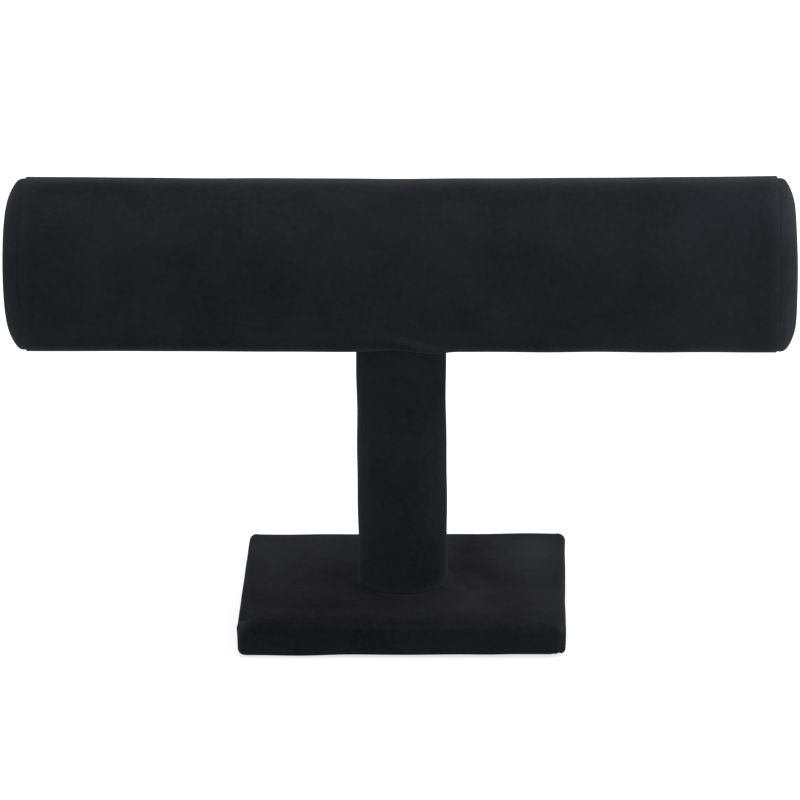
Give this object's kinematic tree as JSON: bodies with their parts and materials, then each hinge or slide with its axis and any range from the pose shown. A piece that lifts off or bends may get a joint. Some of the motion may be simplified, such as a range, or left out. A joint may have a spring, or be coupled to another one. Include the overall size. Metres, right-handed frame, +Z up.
{
  "type": "bracelet display stand",
  "caption": "T-shaped velvet bracelet stand: a wrapped horizontal roll with padded ends on a round post and a flat rectangular base.",
  "frame": {"origin": "middle of the base's underside, on the table", "axes": "+X along the roll to the right end as seen from the front, +Y to the back, +Z up"},
  "size_m": [0.2364, 0.0764, 0.1383],
  "materials": {
    "velvet": "short black velvet pile, soft sheen",
    "liner_card": "thin black card, matt",
    "fibreboard": "raw medium-density fibreboard",
    "dowel_wood": "raw light hardwood",
    "paperboard": "wound grey-brown paperboard",
    "sponge": "thin open-cell sponge",
    "screw_steel": "zinc plated"
  },
  "bodies": {
    "root": {"base_liner": "liner_card", "base_board": "fibreboard", "base_velvet": "velvet", "base_screws": "screw_steel", "post_dowel": "dowel_wood", "post_velvet": "velvet", "roll_tube": "paperboard", "roll_velvet": "velvet", "backing_block": "dowel_wood", "roll_screws": "screw_steel", "left_end_plug": "fibreboard", "left_cap_card": "paperboard", "left_cap_pad": "sponge", "left_cap_velvet": "velvet", "right_end_plug": "fibreboard", "right_cap_card": "paperboard", "right_cap_pad": "sponge", "right_cap_velvet": "velvet"}
  },
  "joints": []
}
